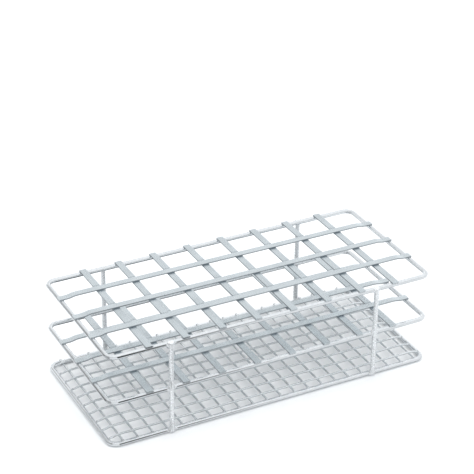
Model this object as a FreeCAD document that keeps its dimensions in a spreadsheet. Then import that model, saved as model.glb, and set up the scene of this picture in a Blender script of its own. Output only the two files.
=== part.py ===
import FreeCAD, Part
import math
import os
import Sketcher

# Wire test tube rack: 9 by 4 tube places. Three round-wire rims stand one above the other on four
# uprights. The top and middle rims carry a grid of flat strips, the base rim carries a fine mesh.
# Millimetres. +X runs along the rack, +Y from front to back, +Z up; the origin is on the standing
# plane, under the middle of the rack.

DOCUMENT = FreeCAD.newDocument("test_tube_rack")

SIZES = {
    "columns": 9,              # tube places along X
    "rows": 4,                 # tube places along Y
    "place_pitch": 21.0,       # from one tube place to the next, both ways
    "rim_wire": 2.6,           # diameter of the rim and upright wire
    "end_margin": 1.2,         # from the last place's edge to the rim's centre line, along X
    "side_margin": 0.8,        # the same along Y
    "corner_radius": 4.8,      # of the rim's centre line
    "middle_rise": 26.2,       # from the base rim's centre line to the middle rim's
    "top_rise": 53.5,          # from the base rim's centre line to the top rim's
    "strip_width": 4.0,
    "strip_thick": 0.8,
    "strip_edge": 0.25,        # radius along the strip's rolled edges
    "strip_overhang": 1.2,     # strip's end past the rim's centre line
    "mesh_wire": 1.2,          # diameter of the mesh wires
    "mesh_pitch": 8.5,
    "mesh_columns": 22,        # mesh wires that run along Y
    "mesh_rows": 10,           # mesh wires that run along X
    "mesh_overhang": 0.3,      # cross mesh wire's end past the rim's centre line
    "mesh_inset": 0.6,         # long mesh wire's end short of the rim's centre line
    "weld_sink": 0.2,          # how far a round wire sinks into its neighbour at a weld
    "strip_seat": 3.0,         # flat end of a long strip, inwards from the rim's centre line
    "strip_joggle": 6.0,       # length over which a long strip steps down to the rim
    "mesh_seat": 1.6,
    "mesh_joggle": 4.4,
    "upright_reach": 61.5,     # from the rack's middle to an upright, along X
    "upright_offset": 1.3,     # from the rims' centre line outwards to an upright's, along Y
    "upright_foot": 0.9,       # height of an upright's lower end above the standing plane
    "upright_head": 0.9,       # upright's upper end above the top rim's centre line
    "upright_round": 0.5,      # radius round an upright's cut ends
}


def make_sheet(sizes):
    sheet = DOCUMENT.addObject("Spreadsheet::Sheet", "Sizes")
    for row, (alias, value) in enumerate(sizes.items(), start=1):
        sheet.set(f"A{row}", alias)
        sheet.set(f"B{row}", str(value))
        sheet.setAlias(f"B{row}", alias)
    DOCUMENT.recompute()
    return sheet


SHEET = make_sheet(SIZES)

# Lengths worked out from the sheet, as expressions that several sub-parts share.
RIM_HALF_LENGTH = "(Sizes.columns * Sizes.place_pitch / 2 + Sizes.end_margin)"
RIM_HALF_WIDTH = "(Sizes.rows * Sizes.place_pitch / 2 + Sizes.side_margin)"
BASE_RIM_Z = "(Sizes.rim_wire / 2)"
TIER_RIM_Z = {
    "middle": f"({BASE_RIM_Z} + Sizes.middle_rise)",
    "top": f"({BASE_RIM_Z} + Sizes.top_rise)",
}
RIM_CREST = "(Sizes.rim_wire / 2 - Sizes.weld_sink)"
STRAIGHT_HALF_LENGTH = f"({RIM_HALF_LENGTH} - Sizes.corner_radius)"
UPRIGHT_HEIGHT = f"({TIER_RIM_Z['top']} + Sizes.upright_head - Sizes.upright_foot)"
MESH_CROSS_Z = f"({BASE_RIM_Z} + {RIM_CREST} + Sizes.mesh_wire / 2)"
MESH_STEP = "(Sizes.mesh_wire - Sizes.weld_sink)"


def value_of(expression):
    return float(SHEET.evalExpression(expression.replace("Sizes.", "")))


def new_body(label):
    body = DOCUMENT.addObject("PartDesign::Body", label)
    body.Label = label
    return body


def origin_plane(body, role):
    return next(item for item in body.Origin.OriginFeatures if item.Role == role)


def new_sketch(body, name, role):
    sketch = body.newObject("Sketcher::SketchObject", f"{body.Name}_{name}")
    sketch.AttachmentSupport = [(origin_plane(body, role), "")]
    sketch.MapMode = "FlatFace"
    return sketch


def size(sketch, name, expression, kind, *geometry):
    """Add a named driving dimension to a sketch and bind it to the sheet."""
    index = sketch.addConstraint(Sketcher.Constraint(kind, *geometry, value_of(expression)))
    sketch.renameConstraint(index, name)
    sketch.setExpression(f"Constraints.{name}", expression)


def line(sketch, start, end):
    return sketch.addGeometry(Part.LineSegment(FreeCAD.Vector(*start, 0), FreeCAD.Vector(*end, 0)))


def arc(sketch, centre, radius, first_degrees, last_degrees):
    circle = Part.Circle(FreeCAD.Vector(*centre, 0), FreeCAD.Vector(0, 0, 1), radius)
    ends = (math.radians(first_degrees), math.radians(last_degrees))
    return sketch.addGeometry(Part.ArcOfCircle(circle, *ends))


def tangent_joint(sketch, first, first_end, second, second_end):
    sketch.addConstraint(Sketcher.Constraint("Tangent", first, first_end, second, second_end))


START, END, CENTRE = 1, 2, 3
X_AXIS, Y_AXIS = -1, -2
ORIGIN = (-1, 1)


def round_profile(body, diameter, across, up):
    """Circle on the YZ plane, its centre `across` along Y and `up` along Z."""
    sketch = new_sketch(body, "section", "YZ_Plane")
    centre = FreeCAD.Vector(value_of(across), value_of(up), 0)
    radius = value_of(f"{diameter} / 2")
    ring = sketch.addGeometry(Part.Circle(centre, FreeCAD.Vector(0, 0, 1), radius))
    size(sketch, "wire_diameter", diameter, "Diameter", ring)
    size(sketch, "across", across, "DistanceX", *ORIGIN, ring, CENTRE)
    size(sketch, "up", up, "DistanceY", *ORIGIN, ring, CENTRE)
    return sketch


def strip_profile(body, role, up):
    """Flat strip's section with rolled edges, centred across and `up` above the sketch's origin."""
    sketch = new_sketch(body, "section", role)
    half_width = value_of("Sizes.strip_width / 2")
    thick = value_of("Sizes.strip_thick")
    edge = value_of("Sizes.strip_edge")
    low = value_of(up)
    high = low + thick
    inner = half_width - edge
    bottom = line(sketch, (-inner, low), (inner, low))
    low_right = arc(sketch, (inner, low + edge), edge, 270, 360)
    right = line(sketch, (half_width, low + edge), (half_width, high - edge))
    high_right = arc(sketch, (inner, high - edge), edge, 0, 90)
    top = line(sketch, (inner, high), (-inner, high))
    high_left = arc(sketch, (-inner, high - edge), edge, 90, 180)
    left = line(sketch, (-half_width, high - edge), (-half_width, low + edge))
    low_left = arc(sketch, (-inner, low + edge), edge, 180, 270)
    outline = [bottom, low_right, right, high_right, top, high_left, left, low_left]
    for first, second in zip(outline, outline[1:] + outline[:1]):
        tangent_joint(sketch, first, END, second, START)
    sketch.addConstraint(Sketcher.Constraint("Symmetric", bottom, START, bottom, END, Y_AXIS))
    sketch.addConstraint(Sketcher.Constraint("Horizontal", top))
    sketch.addConstraint(Sketcher.Constraint("Vertical", right))
    sketch.addConstraint(Sketcher.Constraint("Vertical", left))
    for corner in (high_right, high_left, low_left):
        sketch.addConstraint(Sketcher.Constraint("Equal", low_right, corner))
    size(sketch, "edge", "Sizes.strip_edge", "Radius", low_right)
    size(sketch, "half_width", "Sizes.strip_width / 2", "DistanceX", *ORIGIN, right, START)
    size(sketch, "up", up, "DistanceY", *ORIGIN, bottom, START)
    size(sketch, "thick", "Sizes.strip_thick", "DistanceY", bottom, START, top, END)
    return sketch


def joggled_path(body, step, seat, joggle, overhang):
    """Half of a long member's route on the XZ plane: level from the rack's middle, then a step
    down by two tangent arcs, then a level seat that crosses the end of the rim."""
    sketch = new_sketch(body, "route", "XZ_Plane")
    drop = value_of(step)
    run = value_of(joggle)
    seat_x = value_of(f"{RIM_HALF_LENGTH} - {seat}")
    tip_x = value_of(f"{RIM_HALF_LENGTH} + {overhang}")
    turn = 2 * math.atan2(drop, run)
    radius = run / (2 * math.sin(turn))
    turn_degrees = math.degrees(turn)
    span = line(sketch, (0, drop), (seat_x - run, drop))
    crest = arc(sketch, (seat_x - run, drop - radius), radius, 90 - turn_degrees, 90)
    foot = arc(sketch, (seat_x, radius), radius, 270 - turn_degrees, 270)
    rest = line(sketch, (seat_x, 0), (tip_x, 0))
    tangent_joint(sketch, span, END, crest, END)
    tangent_joint(sketch, crest, START, foot, START)
    tangent_joint(sketch, foot, END, rest, START)
    sketch.addConstraint(Sketcher.Constraint("PointOnObject", span, START, Y_AXIS))
    sketch.addConstraint(Sketcher.Constraint("PointOnObject", rest, START, X_AXIS))
    sketch.addConstraint(Sketcher.Constraint("Horizontal", span))
    sketch.addConstraint(Sketcher.Constraint("Horizontal", rest))
    sketch.addConstraint(Sketcher.Constraint("Equal", crest, foot))
    size(sketch, "step", step, "DistanceY", *ORIGIN, span, START)
    size(sketch, "joggle", joggle, "DistanceX", crest, END, foot, END)
    size(sketch, "seat", f"{RIM_HALF_LENGTH} - {seat}", "DistanceX", *ORIGIN, rest, START)
    size(sketch, "tip", f"{RIM_HALF_LENGTH} + {overhang}", "DistanceX", *ORIGIN, rest, END)
    return sketch


def rim_end_path(body):
    """Right end of a rim's centre line on the XY plane: front bend, end run, back bend."""
    sketch = new_sketch(body, "route", "XY_Plane")
    far_x = value_of(RIM_HALF_LENGTH)
    far_y = value_of(RIM_HALF_WIDTH)
    radius = value_of("Sizes.corner_radius")
    front_bend = arc(sketch, (far_x - radius, radius - far_y), radius, 270, 360)
    end = line(sketch, (far_x, radius - far_y), (far_x, far_y - radius))
    back_bend = arc(sketch, (far_x - radius, far_y - radius), radius, 0, 90)
    tangent_joint(sketch, front_bend, END, end, START)
    tangent_joint(sketch, end, END, back_bend, START)
    sketch.addConstraint(Sketcher.Constraint("Vertical", end))
    sketch.addConstraint(Sketcher.Constraint("Vertical", front_bend, START, front_bend, CENTRE))
    sketch.addConstraint(Sketcher.Constraint("Symmetric", front_bend, START, back_bend, END, X_AXIS))
    sketch.addConstraint(Sketcher.Constraint("Equal", front_bend, back_bend))
    size(sketch, "bend", "Sizes.corner_radius", "Radius", front_bend)
    size(sketch, "half_width", RIM_HALF_WIDTH, "DistanceY", front_bend, START, *ORIGIN)
    size(sketch, "half_length", RIM_HALF_LENGTH, "DistanceX", *ORIGIN, end, START)
    return sketch


def sweep(body, profile, route):
    pipe = body.newObject("PartDesign::AdditivePipe", f"{body.Name}_sweep")
    pipe.Profile = profile
    pipe.Spine = (route, [f"Edge{index + 1}" for index in range(route.GeometryCount)])
    return pipe


def sweep_and_mirror(body, profile, route):
    """Sweep the profile along the right-hand route and mirror it to the left."""
    pipe = sweep(body, profile, route)
    mirrored = body.newObject("PartDesign::Mirrored", f"{body.Name}_mirrored")
    mirrored.Originals = [pipe]
    mirrored.MirrorPlane = (origin_plane(body, "YZ_Plane"), [""])
    body.Tip = mirrored


def place(item, x="0", y="0", z="0"):
    """Bind a sub-part's position to the sheet."""
    for axis, expression in (("x", x), ("y", y), ("z", z)):
        item.setExpression(f"Placement.Base.{axis}", expression)


def grid_offset(index, count, pitch):
    """Centred position of one member of an evenly spaced row, as an expression."""
    return f"(({index} - ({count} - 1) / 2) * {pitch})"


def mirror_image(item, label, normal):
    image = DOCUMENT.addObject("Part::Mirroring", label)
    image.Source = item
    image.Normal = FreeCAD.Vector(*normal)
    return image


def make_group(label, members):
    group = DOCUMENT.addObject("Part::Compound", label)
    group.Label = label
    group.Links = members
    return group


def make_rim(label, height):
    """Closed rim of round wire, as two straight long sides and two bent ends that meet face to
    face where the bends begin."""
    front = new_body(f"{label}_front_run")
    pad = front.newObject("PartDesign::Pad", f"{label}_front_pad")
    pad.Profile = round_profile(front, "Sizes.rim_wire", f"-{RIM_HALF_WIDTH}", "0")
    pad.SideType = "Symmetric"
    pad.setExpression("Length", f"2 * {STRAIGHT_HALF_LENGTH}")
    right = new_body(f"{label}_right_end")
    profile = round_profile(right, "Sizes.rim_wire", f"-{RIM_HALF_WIDTH}", "0")
    profile.setExpression("AttachmentOffset.Base.z", STRAIGHT_HALF_LENGTH)
    right.Tip = sweep(right, profile, rim_end_path(right))
    back = mirror_image(front, f"{label}_back_run", (0, 1, 0))
    left = mirror_image(right, f"{label}_left_end", (1, 0, 0))
    rim = make_group(label, [front, back, right, left])
    place(rim, z=height)
    return rim


def make_cross_strip(label, tier, index):
    """Strip along Y that lies on the rim's long sides."""
    body = new_body(label)
    pad = body.newObject("PartDesign::Pad", f"{label}_pad")
    pad.Profile = strip_profile(body, "XZ_Plane", "0")
    pad.SideType = "Symmetric"
    pad.setExpression("Length", f"2 * ({RIM_HALF_WIDTH} + Sizes.strip_overhang)")
    x = grid_offset(index, "(Sizes.columns - 1)", "Sizes.place_pitch")
    place(body, x=x, z=f"{TIER_RIM_Z[tier]} + {RIM_CREST}")
    return body


def make_long_strip(label, tier, index):
    """Strip along X that lies on the cross strips and steps down onto the rim's ends."""
    body = new_body(label)
    profile = strip_profile(body, "YZ_Plane", "Sizes.strip_thick")
    route = joggled_path(body, "Sizes.strip_thick", "Sizes.strip_seat", "Sizes.strip_joggle",
                         "Sizes.strip_overhang")
    sweep_and_mirror(body, profile, route)
    y = grid_offset(index, "(Sizes.rows - 1)", "Sizes.place_pitch")
    place(body, y=y, z=f"{TIER_RIM_Z[tier]} + {RIM_CREST}")
    return body


def make_mesh_long_wire(label, index):
    """Mesh wire along X that lies on the mesh's cross wires and steps down onto the rim's ends."""
    body = new_body(label)
    profile = round_profile(body, "Sizes.mesh_wire", "0", MESH_STEP)
    route = joggled_path(body, MESH_STEP, "Sizes.mesh_seat", "Sizes.mesh_joggle",
                         "(-Sizes.mesh_inset)")
    sweep_and_mirror(body, profile, route)
    y = grid_offset(index, "Sizes.mesh_rows", "Sizes.mesh_pitch")
    place(body, y=y, z=MESH_CROSS_Z)
    return body


def make_mesh_cross_wire(label, index):
    """Straight mesh wire along Y that lies on the base rim's long sides."""
    wire = DOCUMENT.addObject("Part::Cylinder", label)
    wire.Label = label
    wire.setExpression("Radius", "Sizes.mesh_wire / 2")
    wire.setExpression("Height", f"2 * ({RIM_HALF_WIDTH} + Sizes.mesh_overhang)")
    wire.Placement = FreeCAD.Placement(FreeCAD.Vector(), FreeCAD.Rotation(FreeCAD.Vector(1, 0, 0), -90))
    x = grid_offset(index, "Sizes.mesh_columns", "Sizes.mesh_pitch")
    place(wire, x=x, y=f"-({RIM_HALF_WIDTH} + Sizes.mesh_overhang)", z=MESH_CROSS_Z)
    return wire


def make_upright(label, side_x, side_y, rims):
    """Upright wire with rounded cut ends, welded halfway into the outside of all three rims."""
    rod = DOCUMENT.addObject("Part::Cylinder", f"{label}_rod")
    rod.setExpression("Radius", "Sizes.rim_wire / 2")
    rod.setExpression("Height", UPRIGHT_HEIGHT)
    DOCUMENT.recompute()
    rounded = DOCUMENT.addObject("Part::Fillet", f"{label}_rounded")
    rounded.Base = rod
    radius = value_of("Sizes.upright_round")
    ends = [number for number, edge in enumerate(rod.Shape.Edges, start=1) if edge.isClosed()]
    rounded.Edges = [(number, radius, radius) for number in ends]
    place(rounded, x=f"{side_x} * Sizes.upright_reach",
          y=f"{side_y} * ({RIM_HALF_WIDTH} + Sizes.upright_offset)", z="Sizes.upright_foot")
    upright = DOCUMENT.addObject("Part::Cut", label)
    upright.Label = label
    upright.Base = rounded
    upright.Tool = rims
    return upright


SUB_PARTS = [make_rim("base_rim", BASE_RIM_Z)]
for tier_name, rim_height in TIER_RIM_Z.items():
    SUB_PARTS.append(make_rim(f"{tier_name}_rim", rim_height))
    for column in range(SIZES["columns"] - 1):
        SUB_PARTS.append(make_cross_strip(f"{tier_name}_cross_strip_{column + 1}", tier_name, column))
    for row in range(SIZES["rows"] - 1):
        SUB_PARTS.append(make_long_strip(f"{tier_name}_long_strip_{row + 1}", tier_name, row))

ALL_RIMS = DOCUMENT.addObject("Part::Compound", "all_rims")
ALL_RIMS.Links = [item for item in SUB_PARTS if item.Label.endswith("_rim")]
for front_or_back, toward_y in (("front", -1), ("back", 1)):
    for left_or_right, toward_x in (("left", -1), ("right", 1)):
        name = f"upright_{front_or_back}_{left_or_right}"
        SUB_PARTS.append(make_upright(name, toward_x, toward_y, ALL_RIMS))

for row in range(SIZES["mesh_rows"]):
    SUB_PARTS.append(make_mesh_long_wire(f"mesh_long_wire_{row + 1:02d}", row))

# The two outermost cross wires of the mesh share one sub-part, a group of two separate solids.
LAST_COLUMN = SIZES["mesh_columns"] - 1
for column in range(1, LAST_COLUMN):
    SUB_PARTS.append(make_mesh_cross_wire(f"mesh_cross_wire_{column + 1:02d}", column))
END_WIRES = [
    make_mesh_cross_wire(f"mesh_end_wire_{column + 1:02d}", column) for column in (0, LAST_COLUMN)
]
SUB_PARTS.append(make_group("mesh_end_cross_wires", END_WIRES))

DOCUMENT.recompute()

for item in DOCUMENT.Objects:
    if {"Invalid", "Error"} & set(item.State):
        raise RuntimeError(f"{item.Label} failed: {item.State}")

os.makedirs("parts", exist_ok=True)
for item in SUB_PARTS:
    if item.Shape.isNull() or not item.Shape.isValid():
        raise RuntimeError(f"{item.Label} has no valid shape")
    item.Shape.exportStep(f"parts/{item.Label}.step")
    print(item.Label, round(item.Shape.Volume, 2), len(item.Shape.Solids))
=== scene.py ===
import math
import random

import bpy
import numpy as np
from mathutils import Matrix, Vector


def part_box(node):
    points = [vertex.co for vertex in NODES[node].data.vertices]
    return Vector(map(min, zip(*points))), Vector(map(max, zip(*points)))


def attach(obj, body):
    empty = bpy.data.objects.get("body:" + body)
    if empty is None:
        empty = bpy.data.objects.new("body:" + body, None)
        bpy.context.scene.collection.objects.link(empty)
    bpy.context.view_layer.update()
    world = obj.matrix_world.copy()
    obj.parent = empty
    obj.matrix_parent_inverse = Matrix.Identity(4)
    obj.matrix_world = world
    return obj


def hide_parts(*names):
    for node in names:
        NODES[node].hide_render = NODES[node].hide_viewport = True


# Wire test tube rack. The rims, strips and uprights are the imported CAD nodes. The mesh wires are drawn
# again as slightly uneven drawn wire, and the welds that join all the pieces are added here.
# Metres, +X along the rack, +Y from front to back, +Z up.

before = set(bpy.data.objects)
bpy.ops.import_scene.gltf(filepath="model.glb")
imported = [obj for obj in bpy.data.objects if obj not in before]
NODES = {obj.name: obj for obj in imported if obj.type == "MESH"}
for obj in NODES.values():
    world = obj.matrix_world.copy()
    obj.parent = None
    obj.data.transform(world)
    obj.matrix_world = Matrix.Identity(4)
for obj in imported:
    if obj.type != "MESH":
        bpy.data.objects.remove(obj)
bpy.context.view_layer.update()
MM = 0.001
PER_METRE = 1000.0       # millimetres in a metre, for patterns that are stated per millimetre
random.seed(21)


# ---------------------------------------------------------------- sizes read from the frame

def centre_of(node):
    low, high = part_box(node)
    return (low + high) / 2


RIM_LOW, RIM_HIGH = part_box("base_rim")
RIM_RADIUS = (RIM_HIGH.z - RIM_LOW.z) / 2
RIM_X = RIM_HIGH.x - RIM_RADIUS
RIM_Y = RIM_HIGH.y - RIM_RADIUS
RIM_Z = {tier: centre_of(f"{tier}_rim").z for tier in ("base", "middle", "top")}

CROSS_LOW, CROSS_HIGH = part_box("top_cross_strip_1")
STRIP_WIDTH = CROSS_HIGH.x - CROSS_LOW.x
STRIP_THICK = CROSS_HIGH.z - CROSS_LOW.z
STRIP_EDGE = 0.25 * MM   # radius of a strip's rolled edge
CROSS_STRIP_X = [centre_of(f"top_cross_strip_{i}").x for i in range(1, 9)]
LONG_STRIP_Y = [centre_of(f"top_long_strip_{i}").y for i in range(1, 4)]
STRIP_Z = {tier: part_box(f"{tier}_cross_strip_1")[0].z for tier in ("middle", "top")}

MESH_LOW, MESH_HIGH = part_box("mesh_cross_wire_02")
MESH_RADIUS = (MESH_HIGH.z - MESH_LOW.z) / 2
MESH_CROSS_Z = (MESH_HIGH.z + MESH_LOW.z) / 2
MESH_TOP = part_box("mesh_long_wire_01")[1].z
MESH_LONG_Z = MESH_TOP - MESH_RADIUS
LONG_WIRES = [f"mesh_long_wire_{i:02d}" for i in range(1, 11)]
CROSS_WIRES = [f"mesh_cross_wire_{i:02d}" for i in range(2, 22)]
END_WIRE_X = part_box("mesh_end_cross_wires")[1].x - MESH_RADIUS

UPRIGHTS = [f"upright_{depth}_{side}" for depth in ("front", "back") for side in ("left", "right")]


# ---------------------------------------------------------------- materials

def node_tree(name):
    material = bpy.data.materials.new(name)
    material.use_nodes = True
    tree = material.node_tree
    tree.nodes.clear()
    return material, tree


def add(tree, kind, inputs=None, **settings):
    node = tree.nodes.new(kind)
    for key, value in settings.items():
        setattr(node, key, value)
    for key, value in (inputs or {}).items():
        if isinstance(value, bpy.types.NodeSocket):
            tree.links.new(value, node.inputs[key])
        else:
            node.inputs[key].default_value = value
    return node


def noise(tree, where, scale, detail=3.0, rough=0.55):
    node = add(tree, "ShaderNodeTexNoise", {"Vector": where, "Scale": scale, "Detail": detail,
                                            "Roughness": rough})
    return node.outputs["Fac"]


def spread(tree, value, low, high, source=(0.3, 0.7)):
    """The value mapped from the source range to low...high and kept between them."""
    node = add(tree, "ShaderNodeMapRange",
               {"Value": value, "From Min": source[0], "From Max": source[1], "To Min": low, "To Max": high})
    return node.outputs["Result"]


def mix(tree, factor, first, second):
    node = add(tree, "ShaderNodeMix", data_type="RGBA")
    for index, value in ((0, factor), (6, first), (7, second)):
        if isinstance(value, bpy.types.NodeSocket):
            tree.links.new(value, node.inputs[index])
        elif index == 0:
            node.inputs[index].default_value = value
        else:
            node.inputs[index].default_value = (*value, 1.0)
    return node.outputs[2]


def facing(tree, axis):
    """How far the surface faces along an axis, from -1 to 1."""
    normal = add(tree, "ShaderNodeNewGeometry").outputs["Normal"]
    return add(tree, "ShaderNodeSeparateXYZ", {"Vector": normal}).outputs[axis]


def math_node(tree, operation, first, second=0.0):
    return add(tree, "ShaderNodeMath", {0: first, 1: second}, operation=operation).outputs[0]


def painted_underside_shade(tree, place, colour):
    """Painted shade: the round wire of the two upper rims is painted darker where it faces down."""
    painted_shade_share = spread(tree, facing(tree, "Z"), 0.6, 0.0, (-0.8, -0.2))
    return mix(tree, painted_shade_share, colour, PAINTED_SHADE_GREY)


def painted_edge_shade(tree, colour, across):
    """Painted shade: the rolled edges of a strip are painted darker than its faces, where shade and dark
    reflections fall. across is the axis along its width.
    """
    edge = math_node(tree, "ABSOLUTE", facing(tree, across))
    return mix(tree, spread(tree, edge, 0.0, 0.6, (0.3, 0.9)), colour, PAINTED_SHADE_GREY)


# Painted shade on the long strip's rolled edges.
def long_strip_painted_shade(tree, place, colour):
    return painted_edge_shade(tree, colour, "Y")


def cross_strip_painted_shade(tree, place, colour):
    """Painted shade: a cross strip is also painted grey beside each long strip that is welded on it, as the
    shade of the crossing.
    """
    along = math_node(tree, "ABSOLUTE", add(tree, "ShaderNodeSeparateXYZ", {"Vector": place}).outputs["Y"])
    from_strip = math_node(tree, "PINGPONG", along, STRIP_PITCH / 2)
    near = spread(tree, from_strip, 0.75, 0.0, (STRIP_WIDTH / 2, STRIP_WIDTH / 2 + CROSSING_SHADE_REACH))
    inner = math_node(tree, "LESS_THAN", along, STRIP_PITCH * 1.5)
    shaded_colour = mix(tree, math_node(tree, "MULTIPLY", near, inner), colour, CROSSING_SHADE_GREY)
    return painted_edge_shade(tree, shaded_colour, "X")


def steel(name, tones, gloss, streaks, streak_depth, patch=0.09, tint=None, shade_painter=None, metallic=1.0):
    """Plated steel: blotchy tone, drawn or rolled streaks, uneven gloss, fine pits.
    tones are the two blotch colours and the streaks' colour, gloss is the range of the roughness,
    streaks the streak density across each axis in lines per millimetre, and patch the density of the
    blotches. shade_painter, if given, paints shade into the colour."""
    material, tree = node_tree(name)
    place = add(tree, "ShaderNodeTexCoord").outputs["Object"]
    fine = add(tree, "ShaderNodeVectorMath", {0: place, 1: (PER_METRE, PER_METRE, PER_METRE)},
               operation="MULTIPLY").outputs["Vector"]
    lines = add(tree, "ShaderNodeVectorMath", {0: place, 1: tuple(PER_METRE * s for s in streaks)},
                operation="MULTIPLY").outputs["Vector"]
    blotch = noise(tree, fine, patch)
    grain = noise(tree, lines, 1.0, 3.0, 0.6)
    pits = noise(tree, fine, 2.4, 4.0, 0.65)
    colour = mix(tree, spread(tree, blotch, 0.0, 1.0), tones[0], tones[1])
    colour = mix(tree, spread(tree, grain, 0.0, 0.45), colour, tones[2])
    if tint is not None:
        colour = mix(tree, spread(tree, pits, 0.0, 0.6, (0.5, 0.72)), colour, tint)
    # Painted shade, where a shade painter is given.
    if shade_painter is not None:
        colour = shade_painter(tree, place, colour)
    uneven = math_node(tree, "ADD", spread(tree, pits, 0.0, 0.5), spread(tree, grain, 0.0, 0.5))
    rough = spread(tree, uneven, gloss[0], gloss[1], (0.1, 0.9))
    relief = math_node(tree, "ADD", grain, pits)
    bump = add(tree, "ShaderNodeBump", {"Height": relief, "Strength": 0.5, "Distance": streak_depth})
    shader = add(tree, "ShaderNodeBsdfPrincipled",
                 {"Base Color": colour, "Roughness": rough, "Metallic": metallic,
                  "Normal": bump.outputs["Normal"]})
    add(tree, "ShaderNodeOutputMaterial", {"Surface": shader.outputs["BSDF"]})
    return material


# Three tones each: the blotches' two and the streaks'.
BRIGHT_PLATE = ((0.94, 0.96, 0.975), (0.88, 0.905, 0.925), (0.72, 0.755, 0.785))
EVEN_PLATE = ((0.93, 0.95, 0.965), (0.91, 0.931, 0.948), (0.875, 0.898, 0.916))
SATIN_PLATE = ((0.82, 0.873, 0.90), (0.71, 0.762, 0.79), (0.53, 0.582, 0.61))
CROSS_PLATE = ((0.78, 0.835, 0.865), (0.67, 0.722, 0.75), (0.50, 0.55, 0.58))
MESH_PLATE = ((0.92, 0.945, 0.96), (0.83, 0.865, 0.885), (0.66, 0.70, 0.73))
# Strip welds: dark weld metal, painted darker still as the shade at each crossing.
WELD_METAL_AND_SHADE_PLATE = ((0.52, 0.56, 0.59), (0.40, 0.44, 0.47), (0.26, 0.29, 0.32))
# Grey of the painted shade on the rims' undersides and the strips' edges.
PAINTED_SHADE_GREY = (0.16, 0.185, 0.205)
# Grey of the painted shade on a cross strip beside each long strip.
CROSSING_SHADE_GREY = (0.24, 0.30, 0.345)
SCALE_TINT = (0.42, 0.43, 0.43)    # scale in the pits of a weld
STRIP_PITCH = LONG_STRIP_Y[1] - LONG_STRIP_Y[0]
CROSSING_SHADE_REACH = 2.6 * MM     # how far the painted shade of a crossing greys the strip beside it

# The upper rims' steel has painted shade underneath; the base rim's has none.
RIM_STEEL = steel("bright_rim_wire", BRIGHT_PLATE, gloss=(0.05, 0.16), streaks=(0.9, 0.9, 0.9),
                  streak_depth=0.000012, shade_painter=painted_underside_shade)
BASE_RIM_STEEL = steel("bright_base_rim_wire", BRIGHT_PLATE, gloss=(0.05, 0.16), streaks=(0.9, 0.9, 0.9),
                       streak_depth=0.000012)
UPRIGHT_STEEL = steel("bright_upright_wire", EVEN_PLATE, gloss=(0.20, 0.34), streaks=(3.0, 3.0, 0.12),
                      streak_depth=0.000005, metallic=0.7)
# The strips' steel has painted shade on its rolled edges, and the cross strips also beside each long strip.
CROSS_STRIP_STEEL = steel("satin_cross_strip", CROSS_PLATE, gloss=(0.20, 0.36), streaks=(4.0, 0.12, 4.0),
                          streak_depth=0.00002, shade_painter=cross_strip_painted_shade)
LONG_STRIP_STEEL = steel("satin_long_strip", SATIN_PLATE, gloss=(0.20, 0.36), streaks=(0.12, 4.0, 4.0),
                         streak_depth=0.00002, shade_painter=long_strip_painted_shade)
CROSS_WIRE_STEEL = steel("drawn_cross_wire", MESH_PLATE, gloss=(0.12, 0.26), streaks=(4.0, 0.2, 4.0),
                         streak_depth=0.00001, patch=0.14)
LONG_WIRE_STEEL = steel("drawn_long_wire", MESH_PLATE, gloss=(0.12, 0.26), streaks=(0.2, 4.0, 4.0),
                        streak_depth=0.00001, patch=0.14)
MESH_WELD_STEEL = steel("plated_mesh_weld", MESH_PLATE, gloss=(0.18, 0.34), streaks=(1.1, 1.1, 1.1),
                        streak_depth=0.00003, patch=0.5, tint=SCALE_TINT)
# The strip welds' dark tone is partly weld metal and partly painted shade of the crossings.
STRIP_WELD_STEEL = steel("scaled_strip_weld_and_painted_shade", WELD_METAL_AND_SHADE_PLATE, gloss=(0.24, 0.42), streaks=(1.1, 1.1, 1.1),
                         streak_depth=0.00003, patch=0.5, tint=SCALE_TINT)


def paint_node(node, material):
    mesh_object = NODES[node]
    for held in mesh_object.material_slots:
        held.material = material


paint_node("base_rim", BASE_RIM_STEEL)
for tier in ("middle", "top"):
    paint_node(f"{tier}_rim", RIM_STEEL)
    for i in range(1, 9):
        paint_node(f"{tier}_cross_strip_{i}", CROSS_STRIP_STEEL)
    for i in range(1, 4):
        paint_node(f"{tier}_long_strip_{i}", LONG_STRIP_STEEL)
for node in UPRIGHTS:
    paint_node(node, UPRIGHT_STEEL)


# ---------------------------------------------------------------- mesh building

def new_piece(name, points, faces, material, stands_for=()):
    mesh = bpy.data.meshes.new(name)
    mesh.from_pydata([tuple(p) for p in points], [], [tuple(f) for f in faces])
    mesh.materials.append(material)
    for face in mesh.polygons:
        face.use_smooth = True
    mesh.update()
    piece = bpy.data.objects.new(name, mesh)
    bpy.context.scene.collection.objects.link(piece)
    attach(piece, "root")
    if stands_for:
        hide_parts(*stands_for)
    return piece


END_DOME = 0.12          # how far a wire's end bulges past the end of its route, in wire radii
# Rings of a sheared end from the tip inwards: share of the wire's radius, depth below the tip in radii.
SHEARED_END = ((0.35, 0.0), (0.75, 0.03), (0.95, 0.09))


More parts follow.
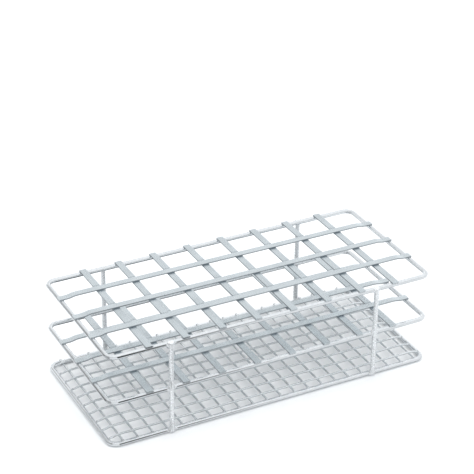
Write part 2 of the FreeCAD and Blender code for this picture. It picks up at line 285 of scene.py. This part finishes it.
def wire_mesh(route, radius, sides=14):
    """Round wire along a nearly straight route of points, with slightly domed sheared ends."""
    route = np.array(route, float)
    along = np.gradient(route, axis=0)
    along /= np.linalg.norm(along, axis=1)[:, None]
    side = np.cross(along, (0.0, 0.0, 1.0))
    side /= np.linalg.norm(side, axis=1)[:, None]
    up = np.cross(side, along)
    turns = np.arange(sides) * 2 * math.pi / sides
    first = [(0, share, depth - END_DOME) for share, depth in SHEARED_END]
    middle = [(i, 1.0, 0.0) for i in range(len(route))]
    last = [(len(route) - 1, share, END_DOME - depth) for share, depth in reversed(SHEARED_END)]
    rings = []
    for i, share, push in first + middle + last:
        centre = route[i] + along[i] * push * radius
        ring = centre + radius * share * (np.cos(turns)[:, None] * side[i] + np.sin(turns)[:, None] * up[i])
        rings.append(ring)
    points = np.concatenate(rings)
    count = len(rings)
    faces = []
    for r in range(count - 1):
        for s in range(sides):
            t = (s + 1) % sides
            faces.append((r * sides + s, r * sides + t, (r + 1) * sides + t, (r + 1) * sides + s))
    faces.append(tuple(range(sides - 1, -1, -1)))
    faces.append(tuple((count - 1) * sides + s for s in range(sides)))
    return points, faces


def joined(parts):
    """Several (points, faces) as one."""
    points, faces, offset = [], [], 0
    for part_points, part_faces in parts:
        points.append(np.array(part_points, float))
        faces.extend(tuple(i + offset for i in face) for face in part_faces)
        offset += len(part_points)
    return np.concatenate(points), faces


def drift(span, size):
    """A gentle random sideways wander along a wire, as a function of the place along it."""
    waves = [(random.uniform(0.5, 1.0), random.uniform(0, 2 * math.pi), size * random.uniform(0.3, 0.7)),
             (random.uniform(1.3, 2.4), random.uniform(0, 2 * math.pi), size * random.uniform(0.1, 0.3))]
    return lambda t: sum(a * math.sin(2 * math.pi * f * t / span + p) for f, p, a in waves)


def ease(t):
    t = min(max(t, 0.0), 1.0)
    return t * t * (3 - 2 * t)


# ---------------------------------------------------------------- base mesh

MESH_SEAT_X = RIM_X - 1.6 * MM   # where the level seat of a long wire begins
MESH_JOGGLE = 4.4 * MM           # length over which a long wire steps down to its seat
WANDER = 0.16 * MM               # sideways wander of a wire at most
LIFT_WANDER = 0.04 * MM          # up and down wander of a long wire at most
CUT_SPREAD = 0.25                # how far a wire lies off centre along itself, in millimetres
LONG_STATIONS, CROSS_STATIONS = 91, 41


def long_wire_route(node):
    low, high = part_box(node)
    y = (low.y + high.y) / 2
    end_x = high.x - END_DOME * MESH_RADIUS
    sway = drift(2 * end_x, WANDER)
    lift = drift(2 * end_x, LIFT_WANDER)
    shift = random.uniform(-CUT_SPREAD, CUT_SPREAD) * MM
    route = []
    for x in np.linspace(-end_x, end_x, LONG_STATIONS):
        drop = ease((abs(x) - (MESH_SEAT_X - MESH_JOGGLE)) / MESH_JOGGLE)
        z = MESH_LONG_Z - drop * (MESH_LONG_Z - MESH_CROSS_Z) + lift(x) * (1 - drop)
        route.append((x + shift, y + sway(x), z))
    return route


def cross_wire_route(x, low_y, high_y):
    sway = drift(high_y - low_y, WANDER)
    shift = random.uniform(-CUT_SPREAD, CUT_SPREAD) * MM
    return [(x + sway(y), y + shift, MESH_CROSS_Z) for y in np.linspace(low_y, high_y, CROSS_STATIONS)]


for node in LONG_WIRES:
    points, faces = wire_mesh(long_wire_route(node), MESH_RADIUS)
    new_piece(f"drawn_{node}", points, faces, LONG_WIRE_STEEL, [node])

WIRE_LOW_Y = MESH_LOW.y + END_DOME * MESH_RADIUS
WIRE_HIGH_Y = MESH_HIGH.y - END_DOME * MESH_RADIUS
for node in CROSS_WIRES:
    points, faces = wire_mesh(cross_wire_route(centre_of(node).x, WIRE_LOW_Y, WIRE_HIGH_Y), MESH_RADIUS)
    new_piece(f"drawn_{node}", points, faces, CROSS_WIRE_STEEL, [node])
points, faces = joined([wire_mesh(cross_wire_route(x, WIRE_LOW_Y, WIRE_HIGH_Y), MESH_RADIUS)
                        for x in (-END_WIRE_X, END_WIRE_X)])
new_piece("drawn_mesh_end_cross_wires", points, faces, CROSS_WIRE_STEEL,
          ["mesh_end_cross_wires"])


# ---------------------------------------------------------------- welds

def surface_of(field, reach, step):
    """Closed mesh of the region round the origin where field(x, y, z) is below zero, in millimetres."""
    axes = [np.arange(-r - step, r + 1.5 * step, step) for r in reach]
    grid = np.meshgrid(*axes, indexing="ij")
    value = field(*grid)
    shape = np.array(value.shape)
    total = np.zeros((*(shape - 1), 3))
    hits = np.zeros(shape - 1)
    quads = []
    for axis in range(3):
        lower = [slice(None)] * 3
        upper = [slice(None)] * 3
        lower[axis] = slice(0, -1)
        upper[axis] = slice(1, None)
        a, b = value[tuple(lower)], value[tuple(upper)]
        index = np.argwhere((a < 0) != (b < 0))
        one, two = [i for i in range(3) if i != axis]
        inside = (index[:, one] > 0) & (index[:, one] < shape[one] - 1)
        inside &= (index[:, two] > 0) & (index[:, two] < shape[two] - 1)
        index = index[inside]
        start, stop = a[tuple(index.T)], b[tuple(index.T)]
        where = index.astype(float)
        where[:, axis] += start / (start - stop)
        corners = []
        for shift_one, shift_two in ((0, 0), (-1, 0), (-1, -1), (0, -1)):
            cell = index.copy()
            cell[:, one] += shift_one
            cell[:, two] += shift_two
            np.add.at(total, tuple(cell.T), where)
            np.add.at(hits, tuple(cell.T), 1)
            corners.append(cell)
        leaving = (start < 0) ^ (axis == 1)
        for n in range(len(index)):
            quad = [tuple(c[n]) for c in corners]
            quads.append(quad if leaving[n] else quad[::-1])
    used = np.argwhere(hits > 0)
    number = {tuple(c): n for n, c in enumerate(used)}
    middle = total[tuple(used.T)] / hits[tuple(used.T)][:, None]
    origin = np.array([axis[0] for axis in axes])
    return middle * step + origin, [tuple(number[c] for c in quad) for quad in quads]


def soft_join(a, b, radius):
    """Union of two distances with the corner between them filled out to about the radius."""
    h = np.clip(0.5 + 0.5 * (b - a) / radius, 0.0, 1.0)
    return b + (a - b) * h - radius * h * (1 - h)


def rod(first, second, radius):
    """Round wire's section as a distance, in millimetres."""
    return np.hypot(first, second) - radius


def bar(across, up, half_width, half_thick, edge):
    """Flat strip's section as a distance, in millimetres."""
    dx = np.abs(across) - half_width + edge
    dz = np.abs(up) - half_thick + edge
    return np.hypot(np.maximum(dx, 0), np.maximum(dz, 0)) + np.minimum(np.maximum(dx, dz), 0) - edge


WELD_SINK = 0.03         # how far weld metal lies under the members' skin away from the corner
WELD_LUMPS = 0.03        # height of the lumps in weld metal
WELD_DEPTH = 0.12        # how deep weld metal reaches into a member


def fillet(first, second, radius, reach, step):
    """Weld metal in the corner between two members. Away from the corner it stays under their skin.
    radius is how full the corner is, reach the weld's half length along each axis, and step the size
    of the mesh. All are in millimetres."""
    def field(x, y, z):
        a, b = first(x, y, z), second(x, y, z)
        lumps = WELD_LUMPS * np.sin(5.1 * x + 1.3) * np.sin(4.3 * y + 0.4) * np.sin(4.7 * z + 2.1)
        body = soft_join(a, b, radius) + WELD_SINK + lumps
        core = -(np.minimum(a, b) + WELD_DEPTH)
        shell = np.sqrt(sum((c / r) ** 2 for c, r in zip((x, y, z), reach))) - 1.0
        return np.maximum(np.maximum(body, core), shell * min(reach))
    return surface_of(field, reach, step)


def copies(template, places):
    """Copies of a weld: places are (x, y, z, quarter turns about Z, size)."""
    points, faces = template
    made = []
    for x, y, z, turn, size in places:
        c, s = [(1, 0), (0, 1), (-1, 0), (0, -1)][turn % 4]
        moved = points * size
        moved = np.stack([c * moved[:, 0] - s * moved[:, 1], s * moved[:, 0] + c * moved[:, 1],
                          moved[:, 2]], axis=1)
        made.append((moved * MM + np.array((x, y, z)), faces))
    return joined(made)


def weld_size():
    return random.uniform(0.94, 1.06)


# The welds are shaped in millimetres.
RIM_R = RIM_RADIUS / MM
WIRE_R = MESH_RADIUS / MM
HALF_WIDTH = STRIP_WIDTH / MM / 2
HALF_THICK = STRIP_THICK / MM / 2
EDGE_R = STRIP_EDGE / MM

# Mesh wires on each other: the cross wire is below, along Y, and the long wire above, along X.
MESH_GAP = (MESH_LONG_Z - MESH_CROSS_Z) / MM
mesh_weld = fillet(lambda x, y, z: rod(x, z + MESH_GAP / 2, WIRE_R),
                   lambda x, y, z: rod(y, z - MESH_GAP / 2, WIRE_R),
                   radius=0.42, reach=(1.05, 1.05, 0.8), step=0.2)
mesh_z = (MESH_LONG_Z + MESH_CROSS_Z) / 2
cross_x = [-END_WIRE_X] + [centre_of(node).x for node in CROSS_WIRES] + [END_WIRE_X]
long_y = [centre_of(node).y for node in LONG_WIRES]
flat_x = MESH_SEAT_X - MESH_JOGGLE
points, faces = copies(mesh_weld, [(x, y, mesh_z, random.choice((0, 2)), weld_size())
                                   for x in cross_x for y in long_y if abs(x) < flat_x + 1 * MM])
new_piece("mesh_crossing_welds", points, faces, MESH_WELD_STEEL)

# Mesh wires on the base rim: the rim is below, along X in the template, and the wire above, along Y,
# with its cut end toward +Y.
SEAT_GAP = (MESH_CROSS_Z - RIM_Z["base"]) / MM


def seat_weld(wire_end):
    """Weld of a mesh wire that ends wire_end millimetres past the rim's centre line."""
    return fillet(lambda x, y, z: rod(y, z + SEAT_GAP, RIM_R),
                  lambda x, y, z: np.maximum(rod(x, z, WIRE_R), y - wire_end),
                  radius=0.7, reach=(1.5, 1.6, 1.3), step=0.25)


# Quarter turns that point a template's +Y outwards, by the axis across the rim and the side.
OUTWARD_TURN = {("y", 1): 0, ("y", -1): 2, ("x", 1): 3, ("x", -1): 1}
long_end = (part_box(LONG_WIRES[0])[1].x - RIM_X) / MM
cross_end = (MESH_HIGH.y - RIM_Y) / MM
cross_seats = copies(seat_weld(cross_end), [(x, side * RIM_Y, MESH_CROSS_Z, OUTWARD_TURN["y", side], 1.0)
                                            for x in cross_x for side in (-1, 1)])
long_seats = copies(seat_weld(long_end), [(side * RIM_X, y, MESH_CROSS_Z, OUTWARD_TURN["x", side], 1.0)
                                          for y in long_y for side in (-1, 1)])
points, faces = joined([cross_seats, long_seats])
new_piece("mesh_rim_welds", points, faces, MESH_WELD_STEEL)

# Strips: each cross strip lies on the rim's long sides, each long strip on the cross strips and the ends.
strip_weld = fillet(lambda x, y, z: bar(x, z + HALF_THICK, HALF_WIDTH, HALF_THICK, EDGE_R),
                    lambda x, y, z: bar(y, z - HALF_THICK, HALF_WIDTH, HALF_THICK, EDGE_R),
                    radius=0.55, reach=(2.9, 2.9, 0.9), step=0.24)
STRIP_SINK = 0.2         # how deep a strip sinks into the rim, in millimetres
STRIP_END = (CROSS_HIGH.y - RIM_Y) / MM
end_weld = fillet(lambda x, y, z: rod(y, z + RIM_R - STRIP_SINK, RIM_R),
                  lambda x, y, z: np.maximum(bar(x, z - HALF_THICK, HALF_WIDTH, HALF_THICK, EDGE_R),
                                             y - STRIP_END),
                  radius=0.7, reach=(2.7, 1.9, 1.0), step=0.25)
for tier, z in STRIP_Z.items():
    points, faces = copies(strip_weld, [(x, y, z + STRIP_THICK, random.choice((0, 2)), 1.0)
                                        for x in CROSS_STRIP_X for y in LONG_STRIP_Y])
    new_piece(f"{tier}_strip_crossing_welds", points, faces, STRIP_WELD_STEEL)
    ends = [(x, side * RIM_Y, z, OUTWARD_TURN["y", side], 1.0)
            for x in CROSS_STRIP_X for side in (-1, 1)]
    ends += [(side * RIM_X, y, z, OUTWARD_TURN["x", side], 1.0)
             for y in LONG_STRIP_Y for side in (-1, 1)]
    points, faces = copies(end_weld, ends)
    new_piece(f"{tier}_strip_end_welds", points, faces, STRIP_WELD_STEEL)


def upright_weld(offset, top, foot):
    """Weld between a rim along X and an upright whose axis is offset along Y. The upright ends at the
    heights top and foot, measured from the rim."""
    return fillet(lambda x, y, z: rod(y, z, RIM_R),
                  lambda x, y, z: np.maximum(rod(x, y - offset, RIM_R), np.maximum(z - top, foot - z)),
                  radius=1.5, reach=(3.4, 3.0, 3.4), step=0.25)


for node in UPRIGHTS:
    low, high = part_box(node)
    side = -1 if low.y < 0 else 1
    offset = abs(low.y if side < 0 else high.y) / MM - RIM_R - RIM_Y / MM
    parts = [copies(upright_weld(side * offset, (high.z - z) / MM, (low.z - z) / MM),
                    [((low.x + high.x) / 2, side * RIM_Y, z, 0, 1.0)]) for z in RIM_Z.values()]
    points, faces = joined(parts)
    new_piece(f"{node}_welds", points, faces, UPRIGHT_STEEL)


# ---------------------------------------------------------------- floor, light and camera

FLOOR_SIZE = 24.0
FLOOR_TONES = ((0.835, 0.848, 0.862), (0.850, 0.862, 0.875))
FLOOR_GLOW = 0.10
FLOOR_DIMMING = 0.28     # share of the floor's light that is missing from reflections


def make_floor():
    """Pale floor, lit a little from below. Polished wire reflects it at part strength, as if it ended
    not far from the rack."""
    bpy.ops.mesh.primitive_grid_add(x_subdivisions=4, y_subdivisions=4, size=FLOOR_SIZE)
    floor = bpy.context.active_object
    floor.name = "floor"
    material, tree = node_tree("pale_floor")
    place = add(tree, "ShaderNodeTexCoord").outputs["Object"]
    mottled = noise(tree, place, 9.0, 4.0)
    colour = mix(tree, spread(tree, mottled, 0.0, 1.0), *FLOOR_TONES)
    glossy = add(tree, "ShaderNodeLightPath").outputs["Is Glossy Ray"]
    dimmed = mix(tree, glossy, colour, mix(tree, FLOOR_DIMMING, colour, (0.0, 0.0, 0.0)))
    shader = add(tree, "ShaderNodeBsdfPrincipled",
                 {"Base Color": dimmed, "Roughness": 0.85, "Emission Color": dimmed,
                  "Emission Strength": FLOOR_GLOW})
    add(tree, "ShaderNodeOutputMaterial", {"Surface": shader.outputs["BSDF"]})
    floor.data.materials.append(material)


make_floor()

SKY = [(0.0, 0.60), (0.12, 0.72), (0.35, 0.80), (0.70, 0.88), (1.0, 1.0)]   # sine of the height, brightness
SKY_TINT = (0.97, 0.988, 1.0)


def make_world():
    """White studio for reflections and light, a little dimmer on the left and round the horizon, except
    for a glow at the back. The camera sees plain white."""
    world = bpy.data.worlds.new("studio")
    bpy.context.scene.world = world
    world.use_nodes = True
    tree = world.node_tree
    tree.nodes.clear()
    ray = add(tree, "ShaderNodeTexCoord").outputs["Generated"]
    parts = add(tree, "ShaderNodeSeparateXYZ", {"Vector": ray})
    ramp = add(tree, "ShaderNodeValToRGB", {"Fac": parts.outputs["Z"]})
    elements = ramp.color_ramp.elements
    while len(elements) < len(SKY):
        elements.new(0.5)
    for element, (place, bright) in zip(elements, SKY):
        element.position = place
        element.color = (*(bright * t for t in SKY_TINT), 1.0)
    sideways = spread(tree, parts.outputs["X"], 0.86, 1.14, (-1.0, 1.0))
    toward_back = spread(tree, parts.outputs["Y"], 0.0, 0.9, (0.3, 0.8))
    near_horizon = spread(tree, parts.outputs["Z"], 1.0, 0.0, (0.0, 0.42))
    glow = add(tree, "ShaderNodeMath", {0: toward_back, 1: near_horizon, 2: 1.0}, operation="MULTIPLY_ADD")
    bright = math_node(tree, "MULTIPLY", sideways, glow.outputs[0])
    lit = add(tree, "ShaderNodeBackground", {"Color": ramp.outputs["Color"], "Strength": bright})
    white = add(tree, "ShaderNodeBackground", {"Color": (1.0, 1.0, 1.0, 1.0), "Strength": 1.0})
    seen = add(tree, "ShaderNodeLightPath").outputs["Is Camera Ray"]
    both = add(tree, "ShaderNodeMixShader", {0: seen, 1: lit.outputs[0], 2: white.outputs[0]})
    add(tree, "ShaderNodeOutputWorld", {"Surface": both.outputs[0]})


make_world()


def soft_light(name, place, aim, width, height, power):
    """Diffuse fill: it lights the floor and leaves no hard spot on the polished wire."""
    data = bpy.data.lights.new(name, "AREA")
    data.shape = "RECTANGLE"
    data.size = width
    data.size_y = height
    data.energy = power
    light = bpy.data.objects.new(name, data)
    light.location = place
    light.rotation_mode = "QUATERNION"
    light.rotation_quaternion = (Vector(aim) - Vector(place)).to_track_quat("-Z", "Y")
    light.visible_glossy = False
    bpy.context.scene.collection.objects.link(light)


soft_light("overhead_softbox", place=(0.0, 0.15, 1.2), aim=(0.0, 0.05, 0.0), width=1.8, height=1.6,
           power=13.0)


def black_cloth(name, one_sided):
    """Black gauze whose density is a value on the mesh. One-sided gauze shows only from behind."""
    material, tree = node_tree(name)
    density = add(tree, "ShaderNodeAttribute", attribute_name="weave").outputs["Fac"]
    if one_sided:
        behind = add(tree, "ShaderNodeNewGeometry").outputs["Backfacing"]
        density = math_node(tree, "MULTIPLY", density, behind)
    black = add(tree, "ShaderNodeBsdfPrincipled",
                {"Base Color": (0.01, 0.012, 0.014, 1.0), "Roughness": 1.0})
    clear = add(tree, "ShaderNodeBsdfTransparent")
    both = add(tree, "ShaderNodeMixShader", {0: density, 1: clear.outputs[0], 2: black.outputs[0]})
    add(tree, "ShaderNodeOutputMaterial", {"Surface": both.outputs[0]})
    return material


GAUZE = black_cloth("black_gauze", False)
ONE_SIDED_GAUZE = black_cloth("black_canopy_gauze", True)


def flag(name, corners, densities, cloth=GAUZE):
    """A studio flag: polished wire reflects it, and it is neither seen nor lets a shadow fall.
    corners are in millimetres, and each has its own density."""
    mesh = bpy.data.meshes.new(name)
    mesh.from_pydata([tuple(c * MM for c in corner) for corner in corners], [], [(0, 1, 2, 3)])
    layer = mesh.attributes.new("weave", "FLOAT", "POINT")
    for value, density in zip(layer.data, densities):
        value.value = density
    mesh.materials.append(cloth)
    card = bpy.data.objects.new(name, mesh)
    card.visible_camera = False
    card.visible_diffuse = False
    card.visible_shadow = False
    bpy.context.scene.collection.objects.link(card)


def standing(name, start, stop, low, high, densities, cloth=GAUZE):
    """A flag that stands on a line from start to stop, seen from above, with a density at each end."""
    at_start, at_stop = densities
    flag(name, [(*start, low), (*stop, low), (*stop, high), (*start, high)],
         (at_start, at_stop, at_stop, at_start), cloth)


def lying(name, outline, height, densities, cloth=GAUZE):
    flag(name, [(x, y, height) for x, y in outline], densities, cloth)


# A narrow card runs just in front of each rim, with a gap at the upright, and fades out to the right.
# Another stands beside the rim's left end and fades toward the back.
CARD_Y = -48.4
CARD_RUNS = [(-91.0, -62.5, 1.0, 0.75), (-56.5, -24.0, 0.68, 0.4), (-24.0, 4.0, 0.4, 0.0)]
CARD_BELOW, CARD_ABOVE = 1.9, 3.4      # from the rim's centre line
CARD_LOWEST = 0.2
LEFT_CARD_X, LEFT_CARD_Y = -100.5, (-38.0, 42.0)
LEFT_CARD_WEAVES = {"base": (0.35, 0.05), "middle": (0.85, 0.2), "top": (0.62, 0.2)}
for tier, z in RIM_Z.items():
    low, high = max(z / MM - CARD_BELOW, CARD_LOWEST), z / MM + CARD_ABOVE
    for number, (left, right, at_left, at_right) in enumerate(CARD_RUNS, start=1):
        standing(f"{tier}_front_card_{number}", (left, CARD_Y), (right, CARD_Y), low, high,
                 (at_left, at_right))
    standing(f"{tier}_left_card", *((LEFT_CARD_X, y) for y in LEFT_CARD_Y), low, high,
             LEFT_CARD_WEAVES[tier])

# The back rims' dark lower line comes from cards inside the rack, which only rays from behind meet.
# They are thin where they would show in an upright.
BACK_CARD_Y = 40.8
BACK_CARD_RUNS = [(-90.0, -70.0, 1.0, 1.0), (-70.0, -53.0, 0.35, 0.35), (-53.0, 20.0, 0.8, 0.15)]
BACK_CARD_DROPS = (3.6, 0.9)           # lower and upper edge, below the rim's centre line
for tier in ("middle", "top"):
    low, high = (RIM_Z[tier] / MM - drop for drop in BACK_CARD_DROPS)
    for number, (left, right, at_left, at_right) in enumerate(BACK_CARD_RUNS, start=1):
        standing(f"{tier}_back_card_{number}", (left, BACK_CARD_Y), (right, BACK_CARD_Y), low, high,
                 (at_left, at_right), ONE_SIDED_GAUZE)

# Larger flags round the rack darken the wires' reflections of the floor and of the room at the left.
# The canopy lies inside the rack, over the mesh. Only rays from below meet it, so it darkens the sky
# for the mesh wires.
lying("front_floor_flag", [(-70, -95), (20, -95), (60, -200), (-70, -200)], 1, (1.0, 0.0, 0.0, 1.0))
lying("front_grey_flag", [(-60, -58), (150, -58), (150, -130), (-60, -130)], 1.5, (0.12,) * 4)
standing("left_flag", (-150, -72), (-150, 60), 0, 100, (0.5, 0.1))
standing("left_back_flag", (-150, 50), (-150, 210), 30, 190, (0.3, 0.3))
lying("left_floor_flag", [(-110, -62), (-110, 0), (-320, 60), (-320, -150)], 1, (0.5, 0.0, 0.0, 0.5))
lying("back_grey_flag", [(-90, 30), (80, 30), (80, 115), (-90, 115)], 1.5, (0.4,) * 4)
lying("canopy_flag", [(-84, -20), (84, -20), (84, 42), (-84, 42)], 20, (0.28,) * 4, ONE_SIDED_GAUZE)

# Camera at the photo's angle, in degrees and metres. The focal length is in widths of the sensor.
CAMERA_AZIMUTH, CAMERA_ELEVATION, CAMERA_ROLL = -27.571, 28.685, 0.645
CAMERA_TARGET = Vector((0.043745, 0.086037, 0.028))
CAMERA_DISTANCE = 1.02337
FOCAL_WIDTHS = 1695.0 / 474.0
SENSOR_MM = 36.0


def make_camera():
    azimuth, elevation, roll = (math.radians(v) for v in (CAMERA_AZIMUTH, CAMERA_ELEVATION, CAMERA_ROLL))
    back = Vector((math.sin(azimuth) * math.cos(elevation), -math.cos(azimuth) * math.cos(elevation),
                   math.sin(elevation)))
    right = Vector((math.cos(azimuth), math.sin(azimuth), 0.0))
    up = back.cross(right)
    turned_right = right * math.cos(roll) + up * math.sin(roll)
    turned_up = up * math.cos(roll) - right * math.sin(roll)
    data = bpy.data.cameras.new("camera")
    data.sensor_width = SENSOR_MM
    data.lens = FOCAL_WIDTHS * SENSOR_MM
    data.clip_end = 50.0
    camera = bpy.data.objects.new("camera", data)
    camera.matrix_world = Matrix.Translation(CAMERA_TARGET + back * CAMERA_DISTANCE) @ Matrix(
        (turned_right, turned_up, back)).transposed().to_4x4()
    bpy.context.scene.collection.objects.link(camera)
    bpy.context.scene.camera = camera


make_camera()
bpy.context.scene.view_settings.view_transform = "Standard"

bpy.context.view_layer.update()
